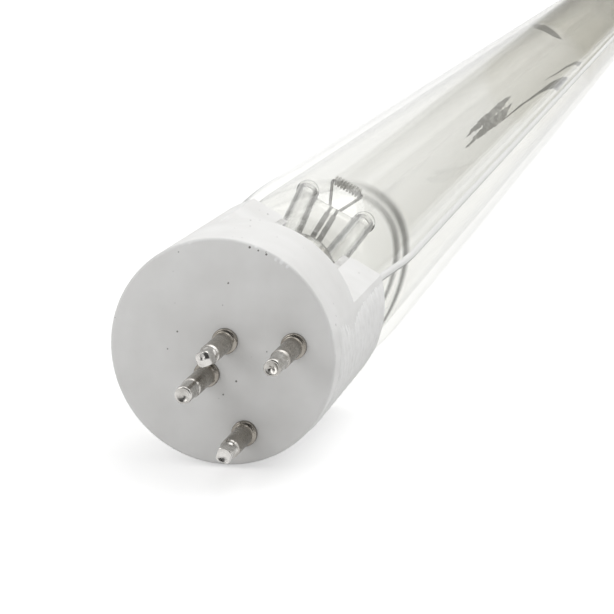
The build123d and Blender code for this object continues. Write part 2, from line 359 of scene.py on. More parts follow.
def metal_tone(tree):
    """A factor that wanders between two tones of a metal."""
    return span(tree, noise(tree, 420, 4), 0.35, 0.65)


def make_metal(name, dark, light, roughness, grain, height):
    """A metal between two tones."""
    material, tree, shader = finish(name, light, roughness, Metallic=1.0)
    feed(tree, shader, Base_Color=mix(tree, metal_tone(tree), dark, light))
    worn(tree, shader, grain, roughness * 0.75, roughness * 1.35, height)
    return material


def make_plating():
    """The pins' nickel: a dull warm grey along the shaft and brighter from the step to the tip."""
    material, tree, shader = finish("nickel", (0.4, 0.38, 0.34), 0.24, Metallic=1.0)
    tone = metal_tone(tree)
    shaft = mix(tree, tone, (0.24, 0.22, 0.19), (0.36, 0.335, 0.30))
    tip = mix(tree, tone, (0.36, 0.345, 0.32), (0.66, 0.645, 0.62))
    past_step = span(tree, object_axis(tree, "Y"), -bright_from * MM, -bright_all * MM)
    feed(tree, shader, Base_Color=mix(tree, past_step, shaft, tip))
    worn(tree, shader, 1500, 0.19, 0.33, 0.00003)
    return material


nickel = make_plating()
wire_nickel = make_metal("nickel_wire", (0.50, 0.48, 0.45), (0.66, 0.64, 0.60), 0.25, 2500, 0.00001)
molybdenum = make_metal("molybdenum", (0.10, 0.097, 0.095), (0.22, 0.215, 0.21), 0.34, 1800, 0.00001)
print("metals", nickel.name, wire_nickel.name, molybdenum.name)


# %% [markdown]
# ### Clear quartz
#
# Both the tube and the stems are clear, but they are made in two ways. The tube's wall is thin and
# even and hardly bends what is behind it, so it is a clear shader mixed with a mirror, which also
# lets light through to the floor. The stems are thick and uneven, so they are glass that bends
# light. Both read how flat a surface is seen, because clear glass shows its form only near its
# outline: the mirror grows there, and the edge is painted dark, a painted shade that stands in for
# what the glass would bend and mirror there. Drawn quartz also has faint lengthwise waves, which a
# noise stretched along Y gives.
# %% Glass finishes
quartz_index = 1.46
fused_to = 26.0
free_from = 30.0
far_tone_from = 292.0
far_tone_all = 302.0


def end_mask(tree, start, end):
    """Goes from zero to one towards both ends of the lamp, between two depths from an end."""
    middle = lamp_length / 2 * MM
    from_middle = arithmetic(tree, "ABSOLUTE", arithmetic(tree, "SUBTRACT", object_axis(tree, "Y"), middle))
    return span(tree, from_middle, middle - start * MM, middle - end * MM)


def product(tree, *factors):
    """All the factors multiplied. Each is a socket or a number."""
    result = factors[0]
    for factor in factors[1:]:
        result = arithmetic(tree, "MULTIPLY", result, factor)
    return result


def seen_flat(tree):
    """How flat the surface is seen, from 0 face on to 1 edge on."""
    return add_node(tree, "LayerWeight").outputs["Facing"]


def surface_between(tree, share, first, second):
    """Makes the material's surface a mix of two shaders."""
    blend = add_node(tree, "MixShader")
    for socket, value in zip(blend.inputs, (share, first.outputs["BSDF"], second.outputs["BSDF"])):
        fill(tree, socket, value)
    feed(tree, tree.nodes["Material Output"], Surface=blend.outputs["Shader"])


def make_tube_quartz():
    """Quartz for the tube, as a thin wall: clear, with a mirror's share of 0.035 + 0.4 f^5 + 0.565 f^20.

    f is how flat the wall is seen. Where it turns in to the neck, two dark crescent arcs stand for its
    bending and are painted shade: one along a line of equal f on the right, and one at the outline on
    the left. Near its outline the wall is painted darker, and from a depth of 292 mm, fully from 302 mm,
    the glass is a little browner near its outline."""
    material, tree, mirror = finish("quartz", (0.98, 0.98, 0.98), 0.0, Metallic=1.0)
    bump(tree, mirror, noise(tree, 190, 2, (1, 0.05, 1)), 0.00004, 1.0)
    f = seen_flat(tree)
    slow = product(tree, arithmetic(tree, "POWER", f, 5.0), 0.4)
    steep = product(tree, arithmetic(tree, "POWER", f, 20.0), 0.565)
    share = arithmetic(tree, "ADD", arithmetic(tree, "ADD", slow, steep), 0.035)

    across = object_axis(tree, "X")
    before_body = end_mask(tree, shoulder_end + 2, shoulder_end - 1)
    in_neck = end_mask(tree, shoulder_start + 4, shoulder_start - 1)
    on_shoulder = arithmetic(tree, "SUBTRACT", before_body, in_neck)
    # painted shade: two dark crescent arcs on the shoulder, one on a line of equal f on the right and one at
    # the left outline, darken the clear tint and the mirror
    line = product(tree, span(tree, f, 0.695, 0.712), span(tree, f, 0.722, 0.745, 1, 0))
    right_painted_crescent = product(tree, line, span(tree, across, 0.004, 0.0115, 0.10, 1.0))
    left_painted_crescent = product(tree, span(tree, f, 0.86, 0.95), span(tree, across, -0.009, -0.006, 1, 0))
    both = arithmetic(tree, "MAXIMUM", right_painted_crescent, left_painted_crescent)
    painted_crescents = product(tree, both, on_shoulder)
    # painted shade: near the outline the clear tint and the mirror are made darker
    outline = span(tree, f, 0.88, 1.0)
    # from a depth of 292 mm on, the tint and the mirror are browner and darker near the outline
    far_part = span(tree, object_axis(tree, "Y"), far_tone_from * MM, far_tone_all * MM)
    far_tone = product(tree, far_part, span(tree, f, 0.72, 0.86))

    tint = mix(tree, far_tone, (0.97, 0.97, 0.96), (0.93, 0.925, 0.90))
    tint = mix(tree, outline, tint, (0.80, 0.80, 0.795))
    tint = mix(tree, painted_crescents, tint, (0.36, 0.36, 0.355))
    sheen = mix(tree, far_tone, (0.98, 0.98, 0.98), (0.82, 0.81, 0.77))
    sheen = mix(tree, outline, sheen, (0.86, 0.86, 0.855))
    sheen = mix(tree, painted_crescents, sheen, (0.25, 0.25, 0.24))
    feed(tree, mirror, Base_Color=sheen)
    clear = add_node(tree, "BsdfTransparent", Color=tint)
    surface_between(tree, share, clear, mirror)
    return material


def make_stem_quartz():
    """Quartz for the stems, with a painted dark outline where it is seen edge on.

    A lamp's light can't find its way through bending glass, so for shadow rays the stem is only
    transparent. Where its flare is fused to the neck there is no surface left between the two, so there
    the refractive index goes down to one."""
    material, tree, shader = finish("stem_quartz", (0.985, 0.99, 0.985), 0.0, Transmission_Weight=1.0,
                                    IOR=quartz_index, Specular_Tint=(0.30, 0.30, 0.30))
    fused = end_mask(tree, free_from, fused_to)
    # painted dark outline: seen edge on, the stem's colour goes nearly black and it stops letting light
    # through, standing in for the dark the glass would bend and mirror
    edge = product(tree, span(tree, seen_flat(tree), 0.71, 0.79), arithmetic(tree, "SUBTRACT", 1.0, fused))
    feed(tree, shader, IOR=span(tree, fused, 0, 1, quartz_index, 1.0),
         Base_Color=mix(tree, edge, (0.84, 0.84, 0.83), (0.02, 0.02, 0.02)),
         Transmission_Weight=arithmetic(tree, "SUBTRACT", 1.0, edge))
    rays = add_node(tree, "LightPath").outputs
    clear = add_node(tree, "BsdfTransparent", Color=(0.93, 0.93, 0.925))
    surface_between(tree, rays["Is Shadow Ray"], shader, clear)
    return material


quartz = make_tube_quartz()
stem_quartz = make_stem_quartz()
print("glass", quartz.name, stem_quartz.name)


# %% [markdown]
# ### Emitter paste, amalgam and soot
#
# The coil carries a chalky emitter. The deposit on the inside of the tube is a dull grey metallic
# film at its spot, and a nearly black one in the tail and the crescent further on. Its flecks are
# drawn out along the tube, the way the vapour went.
# %% Paste and deposits
flecks = (700, 5, (1, 0.25, 1), 0.45, 0.62)
film_relief = (1200, 4, 0.00005, 0.7)
emitter = mottled("emitter", 0.8, (0.50, 0.49, 0.47), (0.90, 0.89, 0.87), (2200, 4, EVEN, 0.35, 0.65),
                  (3000, 4, 0.0001, 0.8))
amalgam = mottled("amalgam", 0.5, (0.17, 0.168, 0.16), (0.34, 0.335, 0.32), flecks, film_relief)
soot = mottled("soot", 0.5, (0.035, 0.034, 0.03), (0.075, 0.072, 0.063), flecks, film_relief)
print("films", emitter.name, amalgam.name, soot.name)


# %% [markdown]
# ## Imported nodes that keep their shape
#
# Most small metal pieces are right as they were packed, and only take a finish. So does the cement,
# which is hidden in the gap between each neck and its cap.
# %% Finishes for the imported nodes
plain = {"near_cement": cement, "far_cement": cement}
for number in (1, 2):
    plain[f"return_wire_{number}"] = wire_nickel
    for end in ("near", "far"):
        plain[f"{end}_foil_{number}"] = molybdenum
        plain[f"{end}_post_{number}"] = molybdenum
        plain[f"{end}_lead_{number}"] = wire_nickel
for name, material in plain.items():
    dress(nodes[name], material)
print("dressed", len(plain), "packed nodes")


# %% [markdown]
# ## Ceramic caps
#
# A pressed and fired cap has no knife edges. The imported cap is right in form, so a copy of it is
# taken, its loose triangles are merged, and a small bevel rounds each real edge. The bevel is what
# gives the thin bright line along the back of the collar.
# %% Caps with soft edges
cap_edge = 0.22 * MM
sharp_angle = radians(32)
flat_angle = radians(0.5)
seam_distance = 1e-6


def soften(name):
    """A copy of a packed cap with its triangles merged and its sharp edges rounded, to stand for it."""
    mesh = nodes[name].data.copy()
    work = bmesh.new()
    work.from_mesh(mesh)
    bmesh.ops.remove_doubles(work, verts=work.verts, dist=seam_distance)
    bmesh.ops.dissolve_limit(work, angle_limit=flat_angle, verts=work.verts, edges=work.edges)
    work.to_mesh(mesh)
    work.free()
    if mesh.has_custom_normals:
        mesh.attributes.remove(mesh.attributes["custom_normal"])
    mesh.polygons.foreach_set("use_smooth", np.full(len(mesh.polygons), True))
    piece = add_piece(f"{name}_fired", mesh, ceramic, name)
    bevel = piece.modifiers.new("soft_edges", "BEVEL")
    bevel.width = cap_edge
    bevel.segments = 3
    bevel.limit_method = "ANGLE"
    bevel.angle_limit = sharp_angle
    bevel.harden_normals = True
    bevel.use_clamp_overlap = True


for name in ("base_cap", "far_cap"):
    soften(name)


# %% [markdown]
# ## Cement smear
#
# When the base was cemented on, some paste was wiped over the right ear. It is a thin patch with a
# jagged upper edge: brush marks near the front, and a torn line up to the ear's end. A patch of
# colour would do from afar, but its edge catches light, so it is a mesh, whose thickness goes to
# nothing at every edge.
# %% Smear on the ear
smear_start = 3.0
smear_end = 28.2
smear_thickness = 0.18
smear_sunk = 0.02
smear_low_edge = -38.0
SMEAR_EDGE = [(3.0, 38.0), (3.6, 44.5), (6.4, 41.5), (10.2, 35.5), (12.3, 38.9),
              (16.2, 41.7), (20.2, 42.0), (24.3, 42.6), (28.2, 41.0)]  # depth, degrees from a towards b
bristles_end = 10.5
bristle_length = 5.0


def smear_points(rows=140, columns=60):
    """Points[row, column]: over the ear from the jagged edge down, and back under it.

    Every wave is a product of sines of the depth in millimetres, so that none repeats."""
    depth = np.linspace(smear_start, smear_end, rows)[:, None]
    edge = np.interp(depth, *zip(*SMEAR_EDGE))
    bristle = np.abs(np.sin(depth * 5.1)) * np.abs(np.sin(depth * 2.3 + 1)) * bristle_length
    torn = 0.8 * np.sin(depth * 3.7) * np.sin(depth * 1.9 + 2) + 0.4 * np.sin(depth * 9.1)
    edge = edge - np.where(depth < bristles_end, bristle, torn)
    down = np.linspace(0, 1, columns)[None, :]
    angle = np.radians(edge + (smear_low_edge - edge) * down)
    height = smear_thickness * np.minimum(1, 14 * down) * np.minimum(1, 6 * (1 - down))
    height = height * np.minimum(1, (depth - smear_start) / 0.8) * np.minimum(1, (smear_end - depth) / 0.5)
    height = height * (1 + 0.25 * np.sin(depth * 2.9 + 3 * angle) * np.sin(angle * 23 + depth))
    sunk = cap_radius - smear_sunk
    over = round_place(sunk + height, angle, depth)
    under = round_place(sunk, angle, depth)
    return np.concatenate([over, under[:, -2:0:-1]], axis=1)


add_piece("cement_smear", skin(smear_points()), smear_white)


# %% [markdown]
# ## Quartz tube
#
# The tube is drawn down at each end to a neck that the cap is cemented on. Its section is carried
# round the axis: out along the outer wall, round the fire-polished rim, and back along the inner
# wall. Both walls are there, as on the real tube, because each of them gives a reflection of its own.
# %% Section of the tube
ring_sides = 192
corner_clearance = 2.0


def tube_profile(depth):
    """Outer radius by depth, the same from both ends: a neck, a quarter ellipse, and the full tube."""
    depth = np.minimum(depth, lamp_length - depth)
    share = np.clip((shoulder_end - depth) / (shoulder_end - shoulder_start), 0, 1)
    return neck_radius + (tube_radius - neck_radius) * np.sqrt(np.clip(1 - share**2, 0, 1))


def tube_section():
    """Radius and depth of the tube's closed section.

    Rows lie close together beside the corners, so that smooth shading turns there and not along the
    neck, where a turned normal would mirror the wrong side of the room."""
    neck_start = tube_start + tube_wall / 2
    near_corner = np.array([0.0, 0.02, 0.06, 0.15, 0.4, 1.0])
    plain = np.linspace(neck_start + corner_clearance, shoulder_start - corner_clearance, 8)
    neck = np.concatenate([neck_start + near_corner, plain, shoulder_start - near_corner[::-1]])
    turn = np.linspace(0, np.pi / 2, 48)[1:]
    shoulder = shoulder_end - (shoulder_end - shoulder_start) * np.cos(turn)
    body = np.linspace(shoulder_end, lamp_length / 2, 24)[1:]
    near = np.concatenate([neck, shoulder, body])
    depth = np.concatenate([near, lamp_length - near[-2::-1]])
    radius = tube_profile(depth)
    rim_angle = np.linspace(0, np.pi, 10)[1:-1]
    rim_middle = neck_radius - tube_wall / 2
    rim_radius = rim_middle + tube_wall / 2 * np.cos(rim_angle)
    rim_reach = tube_wall / 2 * np.sin(rim_angle)
    radii = np.concatenate([radius, rim_radius, (radius - tube_wall)[::-1], rim_radius[::-1]])
    depths = np.concatenate([depth, depth[-1] + rim_reach, depth[::-1], depth[0] - rim_reach[::-1]])
    return radii, depths


section_radius, section_depth = tube_section()
around = np.linspace(0, 2 * np.pi, ring_sides, endpoint=False)
tube_points = round_place(section_radius[:, None], around[None, :], section_depth[:, None])
add_piece("clear_tube", skin(tube_points, rows_closed=True), quartz, "lamp_tube")


# %% [markdown]
# ## Glass stems
#
# Each end of the tube is closed by a stem: a flare sealed into the neck, a tube that leans, a pinch,
# and a flat press with a thick rib along each side that ends in a round lobe. It could be joined from
# plain solids, but molten glass leaves no corners, so the whole stem is one surface. Its sections go
# from circle to dog-bone, each written as a height above the press's middle plane: y = +-h(x).
# %% Stem frame and section
flare_start = 16.5
flare_end = 24.0
stem_radius = 5.0
stem_wall = 1.0
stem_tube_length = 18.0
pinch_end = 24.0
press_end = 50.0
lobe_reach = 53.0
lobe_radius = 1.8
rib_radius = 1.65
rib_place_start = 3.25
rib_place_end = 5.0
rib_start = 19.0
rib_fillet = 0.5
fillet_from = 0.35
web_half = 0.9
lip_radius = neck_radius - tube_wall - 0.03
lean_turn = 2.0
stem_way = -0.098 * EAR_WAY + 0.02 * FLAT_WAY + ALONG
stem_way /= np.linalg.norm(stem_way)
rib_way = EAR_WAY - stem_way * (EAR_WAY @ stem_way)
rib_way /= np.linalg.norm(rib_way)
web_way = np.cross(rib_way, stem_way)
print("the stem leans by", round(float(np.degrees(np.arccos(stem_way @ ALONG))), 1), "degrees")


def on_stem(reach, x, y):
    """Points in metres from a reach along the leaning stem, x towards its ribs and y square to its web.

    Before reach 0 the stem follows the lamp's own axis, and a short smooth turn joins the two."""
    reach, x, y = (v[..., None] for v in np.broadcast_arrays(*(np.asarray(v, float) for v in (reach, x, y))))
    lean = smooth(reach, -lean_turn, lean_turn)
    along_way = np.where(reach < 0, ALONG, stem_way)
    ribs = EAR_WAY + (rib_way - EAR_WAY) * lean
    webs = FLAT_WAY + (web_way - FLAT_WAY) * lean
    return (flare_end * ALONG + reach * along_way + x * ribs + y * webs) * MM


def rib_place(reach):
    """How far a rib's middle is from the stem's middle: the two ribs spread with the reach."""
    share = (reach - rib_start) / (lobe_reach - rib_start)
    return rib_place_start + (rib_place_end - rib_place_start) * share


def rib_size(reach):
    """Radius of a rib, swelling into its lobe, a ball about the rib's end."""
    ball = np.sqrt(np.clip(lobe_radius**2 - (reach - lobe_reach) ** 2, 0, None))
    return np.where(reach < lobe_reach, np.maximum(rib_radius, ball), ball)


def press_height(x, reach):
    """Half thickness of the press: the web, and the two ribs as half circles beside it.

    Where they cross a fillet is added: n^2 / 4 of its size, where n is how near the two heights are."""
    beyond = np.clip(reach - (press_end - web_half), 0, web_half)
    web = np.where(reach < press_end, np.sqrt(web_half**2 - beyond**2), 0)
    web = web * (np.abs(x) < rib_place(reach))
    rib = np.sqrt(np.clip(rib_size(reach) ** 2 - (np.abs(x) - rib_place(reach)) ** 2, 0, None))
    taller = np.maximum(web, rib)
    near = np.clip(rib_fillet - np.abs(web - rib), 0, None) / rib_fillet
    return np.where(taller > fillet_from, taller + near**2 * rib_fillet / 4, taller)


# %% [markdown]
# The rows of the stem start at the inner end of its hollow, run out to the lip of the flare, round
# it, and back in along the outside to the lobes. In the last stretch each column runs to its own end:
# the web ends first, and the lobes reach further, which leaves the notch between them.
# %% Rows of the stem
hollow_round = 2.0
lip_round = 0.4
join = 0.2
closing_start = press_end - 3.0


def flare_radius(depth):
    """Outer radius of the flare: the lip's, then an S down to the stem's."""
    return stem_radius + (lip_radius - stem_radius) * (1 - smooth(depth, flare_start, flare_end))


def stem_points(columns=208):
    """Points[row, column] of one stem, closed at both of its ends."""
    angle = np.linspace(0, 2 * np.pi, columns, endpoint=False)[None, :]
    side = np.where(np.sin(angle) < 0, -1.0, 1.0)
    round_end = np.linspace(0, np.pi / 2, 9)
    bore = stem_radius - stem_wall
    hollow_end = stem_tube_length - hollow_round
    flare_depth = np.linspace(flare_end, tube_start + lip_round, 24)[1:]
    lip_turn = np.linspace(np.pi, 0, 7)
    lip_middle = flare_radius(tube_start) - stem_wall / 2
    radius = np.concatenate([
        bore * np.sin(round_end),
        np.full(8, bore),
        flare_radius(flare_depth) - stem_wall,
        lip_middle + stem_wall / 2 * np.cos(lip_turn),
        flare_radius(flare_depth[::-1]),
        np.full(8, stem_radius),
    ])
    reach = np.concatenate([
        hollow_end + hollow_round * np.cos(round_end),
        np.linspace(hollow_end, join, 9)[1:],
        flare_depth - flare_end,
        tube_start + lip_round - lip_round * np.sin(lip_turn) - flare_end,
        flare_depth[::-1] - flare_end,
        np.linspace(join, stem_tube_length, 8),
    ])
    rounds = on_stem(reach[:, None], radius[:, None] * np.cos(angle), radius[:, None] * np.sin(angle))

    squash_reach = np.linspace(stem_tube_length, pinch_end, 16)[1:, None]
    share = smooth(squash_reach, stem_tube_length, pinch_end)
    width = stem_radius + (rib_place(squash_reach) + rib_size(squash_reach) - stem_radius) * share
    x = width * np.cos(angle)
    bone = press_height(x * (rib_place(squash_reach) + rib_radius) / width, squash_reach)
    height = np.sqrt(np.clip(width**2 - x**2, 0, None)) * (1 - share) + bone * share
    pinch = on_stem(squash_reach, x, side * height)

    press_reach = np.linspace(pinch_end, closing_start, 24)[1:, None]
    x = (rib_place(press_reach) + rib_size(press_reach)) * np.cos(angle)
    press = on_stem(press_reach, x, side * press_height(x, press_reach))

    closing = np.sin(np.linspace(0, np.pi / 2, 40)[1:, None])
    side_reach = closing_start + (lobe_reach - closing_start) * closing
    x = (rib_place(side_reach) + rib_size(side_reach)) * np.cos(angle)
    from_rib = np.abs(x) - rib_place_end
    lobe_end = lobe_reach + np.sqrt(np.clip(lobe_radius**2 - from_rib**2, 0, None))
    last = np.where(np.abs(from_rib) < lobe_radius, lobe_end, press_end)
    end_reach = closing_start + (last - closing_start) * closing
    height = press_height(x, end_reach)
    height[-1] = 0
    lobes = on_stem(end_reach, x, side * height)
    return np.concatenate([rounds, pinch, press, lobes])


def mirrored(points):
    """The same points at the far end of the lamp."""
    turned = points.copy()
    turned[..., 1] = lamp_length * MM - turned[..., 1]
    return turned


near_stem = stem_points()
for name, points in (("near_stem", near_stem), ("far_stem", mirrored(near_stem))):
    add_piece(f"{name}_glass", skin(points), stem_quartz, name)


# %% [markdown]
# ## Electrode coils
#
# The electrode is a fine coil between two posts. A striped spindle would do from afar, but a real
# helix costs little: `carry` takes a circle along a path. The wire's radius swells and shrinks a
# little, because the emitter paste clings unevenly.
# %% A tube along a path
def carry(path, radius, sides):
    """Points[row, column] of a round tube: circles square to the path at each of its points.

    radius is one number or one for each point. Each circle starts from the same outside direction, less
    its part along the path, so that the tube doesn't twist."""
    way = np.gradient(path, axis=0)
    way /= np.linalg.norm(way, axis=1, keepdims=True)
    outside = [0.31, 0.17, 0.93]
    side = np.cross(way, outside)
    side /= np.linalg.norm(side, axis=1, keepdims=True)
    other = np.cross(way, side)
    angle = np.linspace(0, 2 * np.pi, sides, endpoint=False)[None, :, None]
    radius = np.broadcast_to(radius, len(path))[:, None, None]
    return path[:, None] + radius * (side[:, None] * np.cos(angle) + other[:, None] * np.sin(angle))


def closed_ends(points):
    """The same grid with a point added in the middle of its first and last circle, to close its ends."""
    first = np.broadcast_to(points[0].mean(axis=0), points[:1].shape)
    last = np.broadcast_to(points[-1].mean(axis=0), points[:1].shape)
    return np.concatenate([first, points, last])


# %% Coils
coil_centre = 66.5
coil_length = 5.2
coil_radius = 0.85
coil_wire = 0.17
coil_turns = 9


def coil_path(steps=540):
    """A helix about the rib direction, with its radius eased to the axis at both ends."""
    share = np.linspace(0, 1, steps)
    angle = 2 * np.pi * coil_turns * share
    ends = smooth(share, 0, 0.03) * (1 - smooth(share, 0.97, 1))
    radius = (coil_radius - coil_wire) * ends
    x = (share - 0.5) * (coil_length - 2 * coil_wire)
    return on_stem(coil_centre + radius * np.cos(angle), x, radius * np.sin(angle))


path = coil_path()
step = np.arange(len(path))
crust = coil_wire * (1 + 0.12 * np.sin(step * 0.9) * np.sin(step * 0.23))
near_coil = closed_ends(carry(path, crust * MM, 10))
for name, points in (("near_coil", near_coil), ("far_coil", mirrored(near_coil))):
    add_piece(f"{name}_winding", skin(points), emitter, name)


# %% [markdown]
# ## Contact pins
#
# The four pins are drawn tubes with a flange, and each tip was crimped and filled with solder, so no
# two are alike. They could be four copies of one turned profile, but the tips stand nearest to the
# camera. So the profile's radius is cut down near the tip to a polygon, as the crimping jaws did.
# %% Profile of a pin
pin_radius = 1.175
pin_bore = 0.45
flange_radius = 1.55
flange_thickness = 0.55
flange_round = 0.2
swage_radius = 1.45
swage_length = 0.7
tip_radius = 1.04
tip_round = 0.25
step_length = 0.3
crimp_from = pin_shaft_length + 0.35
crimp_all = pin_shaft_length + 0.9
pin_sides = 96
front_wall = 4.0
print(f"pins {2 * pin_radius} mm across, {2 * tip_radius} mm past the step at {pin_shaft_length} mm")


def pin_profile(length):
    """Radius and depth from the rim of the tip back to the swage behind the cap's front wall."""
    round_turn = np.linspace(0, np.pi / 2, 7)
    swage_end = front_wall + swage_length
    radius = np.concatenate([
        tip_radius - tip_round + tip_round * np.sin(round_turn),
        np.full(14, tip_radius),
        tip_radius + (pin_radius - tip_radius) * smooth(np.linspace(0, 1, 6), 0, 1),
        np.full(6, pin_radius),
        flange_radius - flange_round + flange_round * np.sin(round_turn),
        [flange_radius, pin_radius, pin_radius, swage_radius, swage_radius, pin_bore, pin_bore],
    ])
    depth = np.concatenate([
        -length + tip_round - tip_round * np.cos(round_turn),
        np.linspace(-length + tip_round, -pin_shaft_length - step_length, 15)[1:],
        np.linspace(-pin_shaft_length - step_length + 0.02, -pin_shaft_length, 6),
        np.linspace(-pin_shaft_length + 0.05, -flange_thickness - 0.01, 6),
        -flange_thickness + flange_round - flange_round * np.cos(round_turn),
        [-0.005, -0.002, front_wall, front_wall + 0.03, swage_end, swage_end, 1.0],
    ])
    return radius[:, None], depth[:, None]


def crimp(radius, depth, angle, flats, apothem, twist):
    """The profile's radius, cut down near the tip to a polygon with that many flats."""
    part = 2 * np.pi / flats
    flat = apothem / np.cos(np.mod(angle - twist + part / 2, part) - part / 2)
    cut = radius - np.minimum(radius, flat)
    return radius - cut * (1 - smooth(depth, -crimp_all, -crimp_from))


# %% [markdown]
# The solder in each end face is dished by a depth of its own, or domed where that is below zero,
# and petals deepen and lift it in turns. A tip without flats stayed round.
# %% Four pins, each with its own tip
PINS = {
    "contact_pin_1": {"dish": -0.22, "petals": 2, "twist": 0.9, "flats": 4, "apothem": 0.82},
    "contact_pin_2": {"dish": 0.22, "petals": 1, "twist": 0.6},
    "contact_pin_3": {"dish": 0.34, "petals": 2, "twist": 0.9, "flats": 3, "apothem": 0.93},
    "contact_pin_4": {"dish": 0.20, "petals": 0, "twist": 0.2, "flats": 4, "apothem": 0.80},
}
petal_depth = 0.45


def pin_points(centre_a, centre_b, length, dish, petals, twist, flats=0, apothem=0.0):
    """Points[row, column] of a pin, from the middle of its end face round to the end of its bore."""
    angle = np.linspace(0, 2 * np.pi, pin_sides, endpoint=False)[None, :]
    radius, depth = pin_profile(length)
    outer = crimp(radius, depth, angle, flats, apothem, twist) if flats else radius + 0 * angle
    inward = np.linspace(0, 1, 12)[:-1, None]
    petal = 1 + petal_depth * np.cos(petals * (angle - twist)) * inward**0.5 if petals else 1.0
    face_depth = -length + dish * (1 - inward**2) * petal
    rows = np.concatenate([outer[:1] * inward, outer, outer[-1:] * 0])
    depths = np.concatenate([face_depth + 0 * angle, depth + 0 * angle, depth[-1:] + 0 * angle])
    return place(centre_a + rows * np.cos(angle), centre_b + rows * np.sin(angle), depths)


for name, tip in PINS.items():
    low, high = (np.array(corner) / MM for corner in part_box(name))
    middle = (low + high) / 2
    points = pin_points(middle @ EAR_WAY, middle @ FLAT_WAY, -low[1], **tip)
    add_piece(f"{name}_plated", skin(points), nickel, name)


# %% [markdown]
# ## Return lead
#
# A thin white sleeve comes out of a slot in the ear, rises on to the tube and runs to the far cap.
# Its line has one formula: a distance from the axis that goes from the slot's to the tube's by a
# smooth S, the same from both ends.
# %% White sleeve
sleeve_radius = 0.5
slot_place = 12.6
lead_place = tube_radius + 0.05 + sleeve_radius
rise_start = 26.0
rise_end = 44.7
straight_from = 50.0
sleeve_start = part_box("return_sleeve")[0].y / MM


def lead_distance(depth):
    """The sleeve's distance from the lamp's axis by depth."""
    depth = np.minimum(depth, lamp_length - depth)
    return slot_place + (lead_place - slot_place) * smooth(depth, rise_start, rise_end)


rise = np.linspace(sleeve_start, straight_from, 60)
run = np.linspace(straight_from, lamp_length / 2, 30)[1:]
lead_depth = np.concatenate([rise, run])
lead_depth = np.concatenate([lead_depth, lamp_length - lead_depth[-2::-1]])
lead_path = round_place(lead_distance(lead_depth), sleeve_angle, lead_depth)
sleeve_points = closed_ends(carry(lead_path, sleeve_radius * MM, 24))
add_piece("white_sleeve", skin(sleeve_points), sleeve_white, "return_sleeve")
print("sleeve", round(float(np.linalg.norm(np.diff(lead_path, axis=0), axis=1).sum()), 4), "m long")


# %% [markdown]
# ## Deposits on the glass
#
# Inside the tube lies a patch of amalgam with ragged ends. A dark tail curves from it towards the
# sleeve, with a thinner one beside it, and further on there is a crescent. They could be painted in
# the glass, but as thin films on the inner wall they keep a sharp edge and go with the meshes. A film
# is drawn as two lines, its upper and its lower edge, and a ragged wave moves both of them.
# %% Films on the inner wall
film = 0.12
film_gap = 0.03


def film_between(upper, lower, ragged, seed, steps=90):
    """Points[row, column] of a film between two lines, each a few places of (depth, degrees).

    Both lines are followed from end to end, and waves of that many ragged degrees move them. The seed
    gives each film its own waves: sin(41u + s) sin(17u + 2s) + sin(97u + 3s) / 2."""
    u = np.linspace(0, 1, steps)
    waves = np.sin(u * 41 + seed) * np.sin(u * 17 + 2 * seed) + 0.5 * np.sin(u * 97 + 3 * seed)
    ends = np.minimum(1, 12 * u * (1 - u))
    edges = []
    for line, way in ((upper, 1), (lower, -1)):
        knots = np.linspace(0, 1, len(line))
        depth, degrees = (np.interp(u, knots, values) for values in zip(*line))
        edges.append((depth, np.radians(degrees + way * ragged * ends * np.roll(waves, 7 * way))))
    outer = tube_radius - tube_wall - film_gap
    high, low = edges
    ring = [(high, outer), (low, outer), (low, outer - film), (high, outer - film)]
    return np.stack([round_place(radius, angle, depth) for (depth, angle), radius in ring], axis=1)


def deposit(name, films, material, node=None):
    """One piece from several films."""
    work = bmesh.new()
    for points in films:
        part = skin(points, smooth_shaded=False)
        work.from_mesh(part)
        bpy.data.meshes.remove(part)
    mesh = bpy.data.meshes.new(name)
    work.to_mesh(mesh)
    work.free()
    add_piece(name, mesh, material, node)


deposit("amalgam_patch", [
    film_between([(123, 71.6), (132, 73.6), (141, 74.7), (160, 75.0), (176, 74.6), (182, 72.0)],
                 [(123, 71.0), (132, 70.4), (141, 69.2), (152, 69.0), (165, 69.4), (178, 71.4)], 0.6, 1.9),
    film_between([(116.8, 65.4), (128, 67.0), (141, 69.0), (152, 69.3), (166, 68.2), (178, 66.6)],
                 [(117.5, 64.7), (128, 64.2), (140, 62.6), (152, 61.3), (161, 60.6), (172, 64.8)], 0.6, 3.1),
], amalgam, "amalgam")
deposit("amalgam_tail", [
    film_between(
        [(158, 61.2), (183, 60.1), (210, 57.2), (224, 55.8), (238, 54.3), (257, 49.5), (267, 43.0)],
        [(158, 60.6), (187, 58.2), (215, 54.3), (229, 50.6), (237, 46.6), (239, 44.3), (241, 41.5)],
        0.12, 1.2),
    film_between([(229, 61.4), (250, 58.0), (272, 55.5), (290, 51.6), (302, 45.0)],
                 [(229, 61.0), (250, 56.8), (271, 53.9), (286, 49.6), (293, 44.0)], 0.08, 2.4),
], soot)
deposit("amalgam_crescent", [
    film_between([(302.6, 124.5), (311.6, 117.5), (303.5, 103.1), (299.2, 93.4), (294.0, 83.6)],
                 [(300.6, 122.5), (293.4, 105.5), (290.5, 93.6), (293.0, 85.5), (294.0, 83.6)], 0.2, 2.2),
    film_between([(330, 150), (318.5, 131.4), (309, 120)], [(329, 149), (311, 131), (304, 120)], 0.1, 1.4),
], soot)


# %% [markdown]
# ## Floor and background
#
# The lamp was photographed on pure white. Plain white paint would come out grey, so the floor has a
# little light of its own that only the camera, mirrors and glass see, and it keeps its shadow.
# %% Floor
floor_size = 30.0
floor_gap = 0.00002
floor_glow = 0.50
WHITE = (1.0, 1.0, 1.0)


